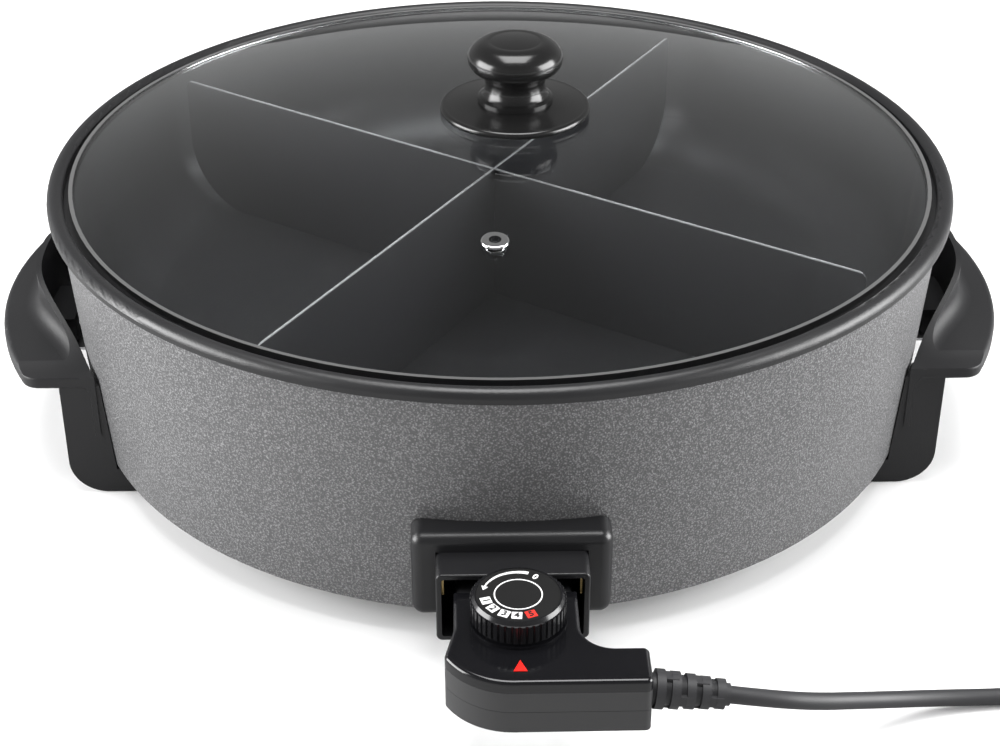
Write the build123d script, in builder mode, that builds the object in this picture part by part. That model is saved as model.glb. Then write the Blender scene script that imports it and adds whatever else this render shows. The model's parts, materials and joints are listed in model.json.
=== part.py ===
from build123d import *
import math
import os

# Electric griddle: a round electric pan with a glass lid, a cross divider,
# two side handles with legs, and a plug-in thermostat on a mains cord.
# Millimetres, +Z up, origin on the pan's axis at the surface it stands on.
# +Y is the back, and the thermostat plugs in at the front (-Y).

# ---- driving dimensions ----
RIM_RADIUS = 210.5
RIM_TOP = 129.8
RIM_DROP = 5.6
SHELL_BOTTOM = 15.0
SHELL_BOTTOM_RADIUS = 198.5
SHELL_TOP = 126.4
SHELL_TOP_RADIUS = 206.4
SHELL_WALL = 1.2
PAN_FLOOR = 57.6
PAN_WALL = 3.0
LID_SEAT = 123.6
LID_RADIUS = 200.4
GLASS_EDGE_RADIUS = 199.4
GLASS_THICKNESS = 4.0
GLASS_EDGE_TOP = 128.5
DOME_TOP = 154.3
KNOB_X = 7.0
KNOB_RADIUS = 21.9
VENT_ANGLE = -92.25
VENT_RADIUS = 117.0
DIVIDER_CENTRE = (-3.0, -3.0)
DIVIDER_LONG_TURN = -34.6
DIVIDER_CROSS_TURN = 59.0
DIVIDER_LENGTH = 380.0
DIVIDER_TOP = 123.7
DIVIDER_THICKNESS = 0.8
HANDLE_REACH = 239.0
GRIP_TOP = 63.5
GRIP_THICKNESS = 7.0
LEG_FRONT = 85.0
LEG_WIDTH = 12.0
SOCKET_X = 0.2
HOUSING_WIDTH = 61.0
HOUSING_BOTTOM = 23.7
HOUSING_TOP = 56.2
HOUSING_FRONT = -227.0
HOUSING_BACK = -190.0
PIN_PITCH = 28.0
PIN_Z = 39.0
DIAL_X = 1.6
DIAL_Y = -246.6
BODY_BOTTOM = 26.0
BODY_SEAM = 35.75
BODY_TOP = 50.0
BODY_WALL = 2.0
CORD_DIAMETER = 6.8

os.makedirs("parts", exist_ok=True)


def write(piece, name):
    """Labels one finished piece and writes it to its own file."""
    piece.part.label = name
    export_step(piece.part, f"parts/{name}.step")


def shell_radius(z):
    """Outer radius of the pan's side wall at height z."""
    slope = (SHELL_TOP_RADIUS - SHELL_BOTTOM_RADIUS) / (SHELL_TOP - SHELL_BOTTOM)
    return SHELL_BOTTOM_RADIUS + slope * (z - SHELL_BOTTOM)


def ring_profile(*points):
    """A closed straight-sided outline in the XZ plane, for turned pieces."""
    with BuildSketch(Plane.XZ) as profile:
        with BuildLine():
            Polyline(*points, close=True)
        make_face()
    return profile.sketch


# ---- pan ----
def make_inner_pan():
    """Pressed pan: floor, wide bottom radius, wall, lid seat and rolled rim."""
    floor_radius = 166.0
    wall_radius = 196.0
    lip_inside = 203.2
    shoulder = LID_SEAT - 2.6
    groove_in = shell_radius(shoulder) - SHELL_WALL - 0.1
    groove_out = SHELL_TOP_RADIUS + 0.3
    rim_skirt = RIM_TOP - RIM_DROP
    corner = wall_radius - floor_radius
    with BuildPart() as pan:
        with BuildSketch(Plane.XZ):
            with BuildLine():
                Line((0, PAN_FLOOR), (floor_radius, PAN_FLOOR))
                RadiusArc((floor_radius, PAN_FLOOR), (wall_radius, PAN_FLOOR + corner), -corner)
                Line((wall_radius, PAN_FLOOR + corner), (198.0, LID_SEAT))
                Line((198.0, LID_SEAT), (lip_inside, LID_SEAT))
                Line((lip_inside, LID_SEAT), (lip_inside, RIM_TOP - 2.0))
                ThreePointArc((lip_inside, RIM_TOP - 2.0), (206.4, RIM_TOP), (RIM_RADIUS, RIM_TOP - 3.4))
                Line((RIM_RADIUS, RIM_TOP - 3.4), (RIM_RADIUS, rim_skirt))
                Line((RIM_RADIUS, rim_skirt), (groove_out, rim_skirt))
                Line((groove_out, rim_skirt), (groove_out, SHELL_TOP))
                Line((groove_out, SHELL_TOP), (groove_in, SHELL_TOP))
                Line((groove_in, SHELL_TOP), (groove_in, shoulder))
                Line((groove_in, shoulder), (200.6, shoulder))
                Line((200.6, shoulder), (wall_radius + PAN_WALL, PAN_FLOOR + corner))
                RadiusArc((wall_radius + PAN_WALL, PAN_FLOOR + corner), (floor_radius, PAN_FLOOR - PAN_WALL),
                          corner + PAN_WALL)
                Line((floor_radius, PAN_FLOOR - PAN_WALL), (0, PAN_FLOOR - PAN_WALL))
                Line((0, PAN_FLOOR - PAN_WALL), (0, PAN_FLOOR))
            make_face()
        revolve(axis=Axis.Z)
    write(pan, "inner_pan")


SOCKET_SCREW_X = (SOCKET_X - 35, SOCKET_X + 35)
SOCKET_SCREW_Z = 40.0
RIVET_Y = 14.0
RIVET_Z = 53.0
RIVET_RADIUS = 1.6


def make_outer_shell():
    """Hammered-paint side wall with the cut-out that the socket passes through."""
    with BuildPart() as shell:
        wall = ring_profile((SHELL_BOTTOM_RADIUS - SHELL_WALL, SHELL_BOTTOM),
                            (SHELL_BOTTOM_RADIUS, SHELL_BOTTOM),
                            (SHELL_TOP_RADIUS, SHELL_TOP), (SHELL_TOP_RADIUS - SHELL_WALL, SHELL_TOP))
        revolve(wall, axis=Axis.Z)
        with BuildSketch(Plane.XZ.offset(230)):
            with Locations((SOCKET_X, (HOUSING_BOTTOM + HOUSING_TOP) / 2)):
                Rectangle(HOUSING_WIDTH + 0.6, HOUSING_TOP - HOUSING_BOTTOM + 0.6)
        extrude(amount=-60, mode=Mode.SUBTRACT)
        with BuildSketch(Plane.XZ.offset(230)):
            with Locations(*[(x, SOCKET_SCREW_Z) for x in SOCKET_SCREW_X]):
                Circle(1.45)
        extrude(amount=-60, mode=Mode.SUBTRACT)
        with BuildSketch(Plane.YZ):
            with Locations((-RIVET_Y, RIVET_Z), (RIVET_Y, RIVET_Z)):
                Circle(RIVET_RADIUS + 0.1)
        extrude(amount=RIM_RADIUS, both=True, mode=Mode.SUBTRACT)
    write(shell, "outer_shell")


# ---- heating ----
ELEMENT_RADIUS = 120.0
SHEATH_RADIUS = 3.75
ELEMENT_Z = PAN_FLOOR - PAN_WALL - SHEATH_RADIUS
LEAD_TURN = 15.0


def make_heating_element():
    """Tubular ring under the floor, with two cold ends led out to the socket."""
    reach = ELEMENT_RADIUS + LEAD_TURN
    lead_x = PIN_PITCH / 2
    turn = math.degrees(math.asin((lead_x + LEAD_TURN) / reach))
    centre_y = -reach * math.cos(math.radians(turn))
    with BuildPart() as element:
        for side in (1, -1):
            with BuildLine() as route:
                ring = CenterArc((0, 0, ELEMENT_Z), ELEMENT_RADIUS, 90, -side * (180 - turn))
                bend = CenterArc((side * (lead_x + LEAD_TURN), centre_y, ELEMENT_Z), LEAD_TURN,
                                 90 + side * turn, side * (90 - turn))
                FilletPolyline(bend @ 1, (side * lead_x, centre_y - 14, ELEMENT_Z),
                               (side * lead_x, centre_y - 34, PIN_Z),
                               (side * lead_x, HOUSING_BACK + 4, PIN_Z),
                               radius=12)
            with BuildSketch(Plane(origin=ring @ 0, z_dir=ring % 0)):
                Circle(SHEATH_RADIUS)
            sweep(path=route.wires()[0])
    write(element, "heating_element")


def make_terminal_pins():
    """Two steel pins that stand in the socket for the thermostat to slide onto."""
    with BuildPart() as pins:
        with BuildSketch(Plane.XZ.offset(-HOUSING_BACK - 4)):
            with Locations((SOCKET_X - PIN_PITCH / 2, PIN_Z), (SOCKET_X + PIN_PITCH / 2, PIN_Z)):
                Circle(2.0)
        extrude(amount=34)
        fillet(pins.faces().sort_by(Axis.Y)[:2].edges(), radius=1.2)
    write(pins, "terminal_pins")


def make_terminal_bushes():
    """Ceramic bushes that insulate the pins in the socket's back wall."""
    with BuildPart() as bushes:
        for side in (-1, 1):
            x = SOCKET_X + side * PIN_PITCH / 2
            with BuildSketch(Plane.XZ.offset(-HOUSING_BACK - 3)):
                with Locations((x, PIN_Z)):
                    Circle(5.5)
            extrude(amount=3)
            with BuildSketch(Plane.XZ.offset(-HOUSING_BACK)):
                with Locations((x, PIN_Z)):
                    Circle(3.9)
            extrude(amount=5)
            with BuildSketch(Plane.XZ.offset(-HOUSING_BACK - 3)):
                with Locations((x, PIN_Z)):
                    Circle(2.05)
            extrude(amount=12, mode=Mode.SUBTRACT)
    write(bushes, "terminal_bushes")


def make_probe_well():
    """Aluminium block under the floor that the thermostat's probe slides into."""
    top = PAN_FLOOR - PAN_WALL
    with BuildPart() as well:
        with BuildSketch(Plane.XZ.offset(118)):
            with BuildLine():
                Polyline((SOCKET_X - 8, top), (SOCKET_X - 8, PIN_Z),
                         (SOCKET_X + 8, PIN_Z), (SOCKET_X + 8, top),
                         close=True)
            make_face()
            with Locations((SOCKET_X, PIN_Z)):
                Circle(8)
        extrude(amount=44)
        with BuildSketch(Plane.XZ.offset(122)):
            with Locations((SOCKET_X, PIN_Z)):
                Circle(3.6)
        extrude(amount=44, mode=Mode.SUBTRACT)
    write(well, "probe_well")


# ---- socket ----
BEZEL_WIDTH = 81.0
BEZEL_BOTTOM = 23.8
BEZEL_TOP = 63.8
BEZEL_FRONT = -212.0


def make_socket_bezel():
    """Moulded surround, shaped to the wall behind and open below round the housing."""
    with BuildPart() as bezel:
        with BuildSketch(Plane.XZ.offset(-BEZEL_FRONT)):
            with Locations((SOCKET_X, (BEZEL_TOP + BEZEL_BOTTOM) / 2)):
                RectangleRounded(BEZEL_WIDTH, BEZEL_TOP - BEZEL_BOTTOM, 5)
        extrude(amount=-18)
        fillet(bezel.faces().sort_by(Axis.Y)[0].edges(), radius=4.6)
        with BuildSketch(Plane.XZ.offset(-BEZEL_FRONT + 1)):
            with Locations((SOCKET_X, HOUSING_TOP - 30)):
                Rectangle(HOUSING_WIDTH + 0.2, 60.2)
        extrude(amount=-30, mode=Mode.SUBTRACT)
        wall = ring_profile((0, 0), (shell_radius(0) + 0.1, 0), (shell_radius(100) + 0.1, 100), (0, 100))
        revolve(wall, axis=Axis.Z, mode=Mode.SUBTRACT)
        with BuildSketch(Plane.XZ.offset(190)):
            with Locations(*[(x, SOCKET_SCREW_Z) for x in SOCKET_SCREW_X]):
                Circle(1.35)
        extrude(amount=18, mode=Mode.SUBTRACT)
    write(bezel, "socket_bezel")


def make_socket_housing():
    """Rectangular hood that guards the pins; the thermostat's neck slides into it."""
    wall = 2.2
    height = HOUSING_TOP - HOUSING_BOTTOM
    centre = (SOCKET_X, (HOUSING_TOP + HOUSING_BOTTOM) / 2)
    with BuildPart() as housing:
        with BuildSketch(Plane.XZ.offset(-HOUSING_FRONT)):
            with Locations(centre):
                RectangleRounded(HOUSING_WIDTH, height, 2.5)
        extrude(amount=HOUSING_FRONT - HOUSING_BACK)
        fillet(housing.faces().sort_by(Axis.Y)[0].edges(), radius=0.8)
        with BuildSketch(Plane.XZ.offset(-HOUSING_FRONT)):
            with Locations(centre):
                RectangleRounded(HOUSING_WIDTH - 2 * wall, height - 2 * wall, 1.2)
        extrude(amount=HOUSING_FRONT - HOUSING_BACK + 3, mode=Mode.SUBTRACT)
        with BuildSketch(Plane.XZ.offset(-HOUSING_BACK - 5)):
            with Locations((SOCKET_X - PIN_PITCH / 2, PIN_Z), (SOCKET_X + PIN_PITCH / 2, PIN_Z)):
                Circle(4.0)
            with Locations((SOCKET_X, PIN_Z)):
                Circle(4.6)
        extrude(amount=12, mode=Mode.SUBTRACT)
    write(housing, "socket_housing")


def make_socket_screws():
    """Two screws from inside the wall into the bezel."""
    head_reach = 3.0
    with BuildPart() as screws:
        for x in SOCKET_SCREW_X:
            inside = shell_radius(SOCKET_SCREW_Z - head_reach) - SHELL_WALL
            seat = math.sqrt(inside ** 2 - (abs(x) + head_reach) ** 2) - 0.1
            with BuildSketch(Plane.XZ.offset(seat)):
                with Locations((x, SOCKET_SCREW_Z)):
                    Circle(1.3)
            extrude(amount=11)
            with BuildSketch(Plane.XZ.offset(seat - 2)):
                with Locations((x, SOCKET_SCREW_Z)):
                    Circle(head_reach)
            extrude(amount=2)
    write(screws, "socket_screws")


def make_earth_contacts():
    """Two sprung strips on the housing's inner sides that earth the pan."""
    inside = HOUSING_WIDTH / 2 - 2.2
    with BuildPart() as strips:
        for side in (-1, 1):
            with Locations((SOCKET_X + side * (inside - 0.4), -203, PIN_Z)):
                Box(0.8, 18, 8)
    write(strips, "earth_contacts")


# ---- handles ----
APRON_WALL = 2.6
APRON_BOTTOM = 31.0
APRON_TOP = 84.0
# Plan of the apron's outer face on the right-hand handle, from its middle to its end.
APRON_PLAN = [(222, 0), (219.3, 24), (207.5, 46), (198, 62), (189, 82), (184, 94)]
GRIP_END = 85.6
FOOT_TOP = 12.4
HANDLE_SCREW_X = 213.0
HANDLE_SCREW_Y = 10.0


def apron_outline(height, inset):
    """Area between the pan's side and the apron's face, set back by inset."""
    half = [(x - inset, y) for x, y in APRON_PLAN]
    back = half[::-1]
    front = [(x, -y) for x, y in half[1:]]
    with BuildSketch(Plane.XY.offset(height)) as plan:
        with BuildLine():
            face = Spline(*back, *front)
            Polyline(face @ 1, (150, -APRON_PLAN[-1][1]), (150, APRON_PLAN[-1][1]), face @ 0)
        make_face()
    return plan.sketch


def make_handle(side, name):
    """One moulding: crescent grip, heat-guard apron and two legs with feet."""
    grip_base = GRIP_TOP - GRIP_THICKNESS
    with BuildPart() as handle:
        with BuildSketch(Plane.XY.offset(grip_base)):
            with BuildLine():
                ThreePointArc((215.7, GRIP_END), (HANDLE_REACH, 0), (215.7, -GRIP_END))
                Polyline((215.7, -GRIP_END), (184, -GRIP_END), (184, GRIP_END), (215.7, GRIP_END))
            plan = make_face()
            fillet(plan.vertices().sort_by(Axis.X)[2:], radius=9)
        extrude(amount=GRIP_THICKNESS)
        outside = handle.edges().filter_by(lambda e: e.center().X > 190)
        fillet(outside.group_by(Axis.Z)[-1], radius=2.4)
        fillet(handle.edges().filter_by(lambda e: e.center().X > 190).group_by(Axis.Z)[0], radius=1.6)
        extrude(apron_outline(APRON_BOTTOM, 0), amount=APRON_TOP + 6 - APRON_BOTTOM)
        root = handle.edges().filter_by(lambda e: abs(e.center().Z - GRIP_TOP) < 0.01 and e.length > 150)
        fillet(root.sort_by(Axis.X)[0], radius=7)
        for end in (-1, 1):
            with Locations((190, end * (GRIP_END + 10), 60)):
                Box(60, 20, 80, mode=Mode.SUBTRACT)
        extrude(apron_outline(APRON_BOTTOM - 1, APRON_WALL), amount=APRON_TOP + 10 - APRON_BOTTOM,
                mode=Mode.SUBTRACT)
        with BuildSketch(Plane.YZ.offset(150)):
            with BuildLine():
                crown = Spline((-95, GRIP_TOP + 0.2), (-66, GRIP_TOP + 1.5), (-46, GRIP_TOP + 9.5),
                               (-26, GRIP_TOP + 17.5), (0, GRIP_TOP + 20), (26, GRIP_TOP + 17.5),
                               (46, GRIP_TOP + 9.5), (66, GRIP_TOP + 1.5), (95, GRIP_TOP + 0.2))
                Polyline(crown @ 1, (95, 110), (-95, 110), crown @ 0)
            make_face()
        extrude(amount=100, mode=Mode.SUBTRACT)
        for end in (-1, 1):
            front = LEG_FRONT if end < 0 else -LEG_FRONT + LEG_WIDTH
            with BuildSketch(Plane.XZ.offset(front)):
                with BuildLine():
                    Polyline((185.4, 58), (201.5, 58), (201.5, 17))
                    RadiusArc((201.5, 17), (185.5, 0), 16.6)
                    Polyline((185.5, 0), (166, 0), (166, FOOT_TOP), (176, FOOT_TOP), (176, 58), (185.4, 58))
                make_face()
            extrude(amount=-LEG_WIDTH)
        clear = 0.5
        pan_side = ring_profile((0, FOOT_TOP), (shell_radius(FOOT_TOP) + clear, FOOT_TOP),
                                (shell_radius(100) + clear, 100), (0, 100))
        revolve(pan_side, axis=Axis.Z, mode=Mode.SUBTRACT)
        with Locations((HANDLE_SCREW_X, 0, 47)):
            Box(14, 34, 14)
        with BuildSketch(Plane.XY.offset(39)):
            with Locations((HANDLE_SCREW_X, -HANDLE_SCREW_Y), (HANDLE_SCREW_X, HANDLE_SCREW_Y)):
                Circle(1.6)
        extrude(amount=12, mode=Mode.SUBTRACT)
        if side < 0:
            mirror(about=Plane.YZ, mode=Mode.REPLACE)
    write(handle, name)


def make_handle_bracket(side, name):
    """Steel angle riveted to the wall; the handle's lug sits on its tab."""
    with BuildPart() as bracket:
        angle = ring_profile((shell_radius(38.5) + 0.05, 38.5), (shell_radius(62) + 0.05, 62),
                             (shell_radius(62) + 1.55, 62), (shell_radius(40) + 1.55, 40),
                             (217, 40), (217, 38.5))
        revolve(angle, axis=Axis.Z)
        with Locations((212, 0, 50)):
            Box(50, 40, 40, mode=Mode.INTERSECT)
        with BuildSketch(Plane.XY.offset(38)):
            with Locations((HANDLE_SCREW_X, -HANDLE_SCREW_Y), (HANDLE_SCREW_X, HANDLE_SCREW_Y)):
                Circle(1.7)
        extrude(amount=3, mode=Mode.SUBTRACT)
        with BuildSketch(Plane.YZ.offset(190)):
            with Locations((-RIVET_Y, RIVET_Z), (RIVET_Y, RIVET_Z)):
                Circle(RIVET_RADIUS + 0.1)
        extrude(amount=30, mode=Mode.SUBTRACT)
        if side < 0:
            mirror(about=Plane.YZ, mode=Mode.REPLACE)
    write(bracket, name)


def make_bracket_rivets():
    """Four rivets, two through each bracket and the side wall."""
    head_radius = 3.0
    with BuildPart() as rivets:
        for side in (-1, 1):
            for y in (-RIVET_Y, RIVET_Y):
                near = abs(y) - head_radius
                far = abs(y) + head_radius
                outer = math.sqrt((shell_radius(RIVET_Z + head_radius) + 1.6) ** 2 - near ** 2)
                inner = math.sqrt((shell_radius(RIVET_Z - head_radius) - SHELL_WALL) ** 2 - far ** 2) - 0.05
                with BuildSketch(Plane.YZ.offset(side * (inner - 1.0))):
                    with Locations((y, RIVET_Z)):
                        Circle(head_radius)
                extrude(amount=side * 1.0)
                with BuildSketch(Plane.YZ.offset(side * inner)):
                    with Locations((y, RIVET_Z)):
                        Circle(RIVET_RADIUS)
                extrude(amount=side * (outer - inner))
                with BuildSketch(Plane.YZ.offset(side * outer)):
                    with Locations((y, RIVET_Z)):
                        Circle(head_radius)
                extrude(amount=side * 1.3)
    write(rivets, "bracket_rivets")


def make_handle_screws():
    """Four screws, two up through each bracket's tab into the handle's lug."""
    with BuildPart() as screws:
        for side in (-1, 1):
            for y in (-HANDLE_SCREW_Y, HANDLE_SCREW_Y):
                with BuildSketch(Plane.XY.offset(36.4)):
                    with Locations((side * HANDLE_SCREW_X, y)):
                        Circle(3.2)
                extrude(amount=2)
                with BuildSketch(Plane.XY.offset(38.4)):
                    with Locations((side * HANDLE_SCREW_X, y)):
                        Circle(1.5)
                extrude(amount=11.5)
    write(screws, "handle_screws")


# ---- lid ----
def dome_height(radius):
    """Height of the glass's outer face at a distance from the axis."""
    rise = DOME_TOP - GLASS_EDGE_TOP
    ball = (GLASS_EDGE_RADIUS ** 2 + rise ** 2) / (2 * rise)
    return DOME_TOP - ball + math.sqrt(ball ** 2 - radius ** 2)


def make_glass_lid():
    """Domed tempered glass with a hole for the knob's screw and one for the vent."""
    middle = GLASS_EDGE_RADIUS * 0.6
    edge_base = GLASS_EDGE_TOP - GLASS_THICKNESS
    angle = math.radians(VENT_ANGLE)
    vent = (VENT_RADIUS * math.cos(angle), VENT_RADIUS * math.sin(angle))
    with BuildPart() as glass:
        with BuildSketch(Plane.XZ):
            with BuildLine():
                ThreePointArc((0, DOME_TOP), (middle, dome_height(middle)),
                              (GLASS_EDGE_RADIUS, GLASS_EDGE_TOP))
                Line((GLASS_EDGE_RADIUS, GLASS_EDGE_TOP), (GLASS_EDGE_RADIUS, edge_base))
                ThreePointArc((GLASS_EDGE_RADIUS, edge_base), (middle, dome_height(middle) - GLASS_THICKNESS),
                              (0, DOME_TOP - GLASS_THICKNESS))
                Line((0, DOME_TOP - GLASS_THICKNESS), (0, DOME_TOP))
            make_face()
        revolve(axis=Axis.Z)
        with BuildSketch(Plane.XY.offset(LID_SEAT)):
            with Locations((KNOB_X, 0)):
                Circle(3.2)
            with Locations(vent):
                Circle(4.2)
        extrude(amount=60, mode=Mode.SUBTRACT)
    write(glass, "glass_lid")


def make_lid_band():
    """Polished steel channel folded round the glass's edge."""
    sheet = 0.6
    top = GLASS_EDGE_TOP + 0.85
    with BuildPart() as band:
        channel = ring_profile((LID_RADIUS, LID_SEAT + 0.05), (LID_RADIUS, top),
                               (198.6, top), (198.6, top - sheet),
                               (LID_RADIUS - sheet, top - sheet),
                               (LID_RADIUS - sheet, LID_SEAT + 0.05 + sheet),
                               (197.6, LID_SEAT + 0.05 + sheet), (197.6, LID_SEAT + 0.05))
        revolve(channel, axis=Axis.Z)
    write(band, "lid_band")


def make_steam_vent():
    """Steel eyelet closed over both faces of the glass."""
    slope = math.degrees(math.asin(VENT_RADIUS / ((GLASS_EDGE_RADIUS ** 2 + 25.8 ** 2) / 51.6)))
    a = math.radians(VENT_ANGLE)
    t = math.radians(slope)
    out = Vector(math.cos(a) * math.sin(t), math.sin(a) * math.sin(t), math.cos(t))
    seat = Vector(VENT_RADIUS * math.cos(a), VENT_RADIUS * math.sin(a), dome_height(VENT_RADIUS)) + out * 0.1
    top = Plane(origin=seat, z_dir=out)
    with BuildPart() as vent:
        with BuildSketch(top):
            Circle(6.0)
        extrude(amount=1.3)
        fillet(vent.edges().sort_by(SortBy.DISTANCE)[-1], radius=0.9)
        with BuildSketch(top):
            Circle(3.5)
        extrude(amount=-(GLASS_THICKNESS + 0.3))
        with BuildSketch(top.offset(-(GLASS_THICKNESS + 0.3))):
            Circle(5.4)
        extrude(amount=-0.8)
        with BuildSketch(top.offset(3)):
            Circle(2.6)
        extrude(amount=-12, mode=Mode.SUBTRACT)
    write(vent, "steam_vent")


SHIELD_TOP = 159.0
KNOB_PLANE = Plane(origin=(KNOB_X, 0, 0), x_dir=(1, 0, 0), z_dir=(0, -1, 0))
KNOB_AXIS = Axis((KNOB_X, 0, 0), (0, 0, 1))
GASKET_TOP = dome_height(KNOB_X + 10) - GLASS_THICKNESS - 0.05
WASHER_TOP = GASKET_TOP - 1.5
SCREW_SEAT = WASHER_TOP - 1.0


def make_knob_shield():
    """Round heat shield between the knob and the glass."""
    edge = 35.0
    rest = dome_height(edge - KNOB_X) + 0.25
    with BuildPart() as shield:
        with BuildSketch(KNOB_PLANE):
            with BuildLine():
                Polyline((3.1, DOME_TOP + 0.1), (edge - 5, rest + 0.15), (edge - 1, rest))
                ThreePointArc((edge - 1, rest), (edge, 155.6), (edge - 2.2, 157.3))
                Polyline((edge - 2.2, 157.3), (18.0, SHIELD_TOP), (3.1, SHIELD_TOP), (3.1, DOME_TOP + 0.1))
            make_face()
        revolve(axis=KNOB_AXIS)
    write(shield, "knob_shield")


def make_lid_knob():
    """Turned-shape phenolic knob with a waisted neck and a flat-crowned head."""
    base = SHIELD_TOP + 0.05
    crown_radius = 11.5
    crown_rise = 0.7
    crown_ball = (crown_radius ** 2 + crown_rise ** 2) / (2 * crown_rise)
    with BuildPart() as knob:
        with BuildSketch(KNOB_PLANE):
            with BuildLine():
                Polyline((0, base), (17.4, base), (17.4, base + 2.2), (15.6, base + 3.2))
                ThreePointArc((15.6, base + 3.2), (13.9, base + 9.5), (18.2, base + 15.0))
                ThreePointArc((18.2, base + 15.0), (KNOB_RADIUS, base + 19.6), (20.4, base + 25.2))
                ThreePointArc((20.4, base + 25.2), (16.4, base + 28.2), (crown_radius, base + 28.9))
                crown = RadiusArc((crown_radius, base + 28.9), (0, base + 28.9 + crown_rise), -crown_ball)
                Line(crown @ 1, (0, base))
            make_face()
        revolve(axis=KNOB_AXIS)
        with BuildSketch(Plane.XY.offset(base)):
            with Locations((KNOB_X, 0)):
                Circle(2.55)
        extrude(amount=14, mode=Mode.SUBTRACT)
    write(knob, "lid_knob")


def make_knob_gasket():
    """Silicone washer between the glass and the steel washer below it."""
    with BuildPart() as gasket:
        with BuildSketch(Plane.XY.offset(WASHER_TOP)):
            with Locations((KNOB_X, 0)):
                Circle(10)
                Circle(2.7, mode=Mode.SUBTRACT)
        extrude(amount=GASKET_TOP - WASHER_TOP)
    write(gasket, "knob_gasket")


def make_knob_washer():
    """Steel washer under the gasket."""
    with BuildPart() as washer:
        with BuildSketch(Plane.XY.offset(SCREW_SEAT)):
            with Locations((KNOB_X, 0)):
                Circle(8)
                Circle(2.7, mode=Mode.SUBTRACT)
        extrude(amount=WASHER_TOP - SCREW_SEAT)
    write(washer, "knob_washer")


def make_knob_screw():
    """Cross-head screw up through the glass into the knob."""
    head_height = 3.0
    with BuildPart() as screw:
        with BuildSketch(Plane.XY.offset(SCREW_SEAT - head_height)):
            with Locations((KNOB_X, 0)):
                Circle(4.5)
        extrude(amount=head_height)
        fillet(screw.faces().sort_by(Axis.Z)[0].edges(), radius=1.6)
        with BuildSketch(Plane.XY.offset(SCREW_SEAT)):
            with Locations((KNOB_X, 0)):
                Circle(2.5)
        extrude(amount=SHIELD_TOP + 12 - SCREW_SEAT)
        with BuildSketch(Plane.XY.offset(SCREW_SEAT - head_height)):
            with Locations((KNOB_X, 0)):
                Rectangle(4.6, 1.0)
                Rectangle(1.0, 4.6)
        extrude(amount=1.6, mode=Mode.SUBTRACT)
    write(screw, "knob_screw")


# ---- divider ----
def make_divider_plate(turn, slot_from_top, name):
    """One upright plate of the cross, with a half-height slot where the two meet."""
    base = PAN_FLOOR + 0.1
    half = DIVIDER_LENGTH / 2
    corner = 30.0
    top_corner = 4.0
    middle = (base + DIVIDER_TOP) / 2
    angle = math.radians(turn)
    run = Plane(origin=(*DIVIDER_CENTRE, 0), x_dir=(math.cos(angle), math.sin(angle), 0),
                z_dir=(math.sin(angle), -math.cos(angle), 0))
    with BuildPart() as plate:
        with BuildSketch(run.offset(-DIVIDER_THICKNESS / 2)):
            with BuildLine():
                Line((-half + top_corner, DIVIDER_TOP), (half - top_corner, DIVIDER_TOP))
                RadiusArc((half - top_corner, DIVIDER_TOP), (half, DIVIDER_TOP - top_corner), top_corner)
                Line((half, DIVIDER_TOP - top_corner), (half, base + corner))
                RadiusArc((half, base + corner), (half - corner, base), 36)
                Line((half - corner, base), (corner - half, base))
                RadiusArc((corner - half, base), (-half, base + corner), 36)
                Line((-half, base + corner), (-half, DIVIDER_TOP - top_corner))
                RadiusArc((-half, DIVIDER_TOP - top_corner), (-half + top_corner, DIVIDER_TOP), top_corner)
            make_face()
            slot_middle = (DIVIDER_TOP + middle) / 2 if slot_from_top else (base + middle) / 2
            with Locations((0, slot_middle)):
                Rectangle(DIVIDER_THICKNESS + 0.5, middle - base + 0.4, mode=Mode.SUBTRACT)
        extrude(amount=DIVIDER_THICKNESS)
    write(plate, name)


# ---- thermostat body ----
NECK_LEFT = -23.3
NECK_RIGHT = 25.2
ARM_RIGHT = 50.6
ARM_BACK = -264.0
BODY_FRONT = -284.2
NECK_BACK = -229.0


FRONT_ARC_RADIUS = 29.6
BULGE = (-26.9, -267.9)
NECK_END = -252.0


def body_outline(height, inset):
    """Plan of the thermostat's body: a neck, a broad round front and an arm to the right."""
    arc_end = 1.4
    with BuildSketch(Plane.XY.offset(height)) as plan:
        with BuildLine():
            RadiusArc(BULGE, (arc_end, BODY_FRONT), -FRONT_ARC_RADIUS)
            Polyline((arc_end, BODY_FRONT), (ARM_RIGHT, BODY_FRONT), (ARM_RIGHT, ARM_BACK),
                     (NECK_RIGHT, ARM_BACK), (NECK_RIGHT, NECK_BACK), (NECK_LEFT, NECK_BACK),
                     (NECK_LEFT, NECK_END), BULGE)
        make_face()
        for x, y, radius in ((*BULGE, 4.5), (ARM_RIGHT, BODY_FRONT, 2.5), (ARM_RIGHT, ARM_BACK, 2.5),
                             (NECK_RIGHT, ARM_BACK, 13), (NECK_LEFT, NECK_END, 12)):
            fillet(plan.vertices().sort_by_distance((x, y, 0))[0], radius=radius)
        if inset > 0:
            offset(amount=-inset, kind=Kind.INTERSECTION, mode=Mode.REPLACE)
    return plan.sketch


COVER_SCREWS = [(-18.4, -262), (20.6, -237.4), (30, -278.6)]
COVER_SCREW_SEAT = BODY_BOTTOM + 3.6
WINDOW_Y = -274.6


def window_outline(height, gap):
    """Three-cornered outline of the pilot light's window, pointing at the dial."""
    half = 2.6 + gap
    with BuildSketch(Plane.XY.offset(height)) as window:
        with BuildLine():
            Polyline((DIAL_X - half, WINDOW_Y - 3.1 - gap), (DIAL_X + half, WINDOW_Y - 3.1 - gap),
                     (DIAL_X, WINDOW_Y + 3.1 + 2 * gap), close=True)
        make_face()
    return window.sketch


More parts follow.
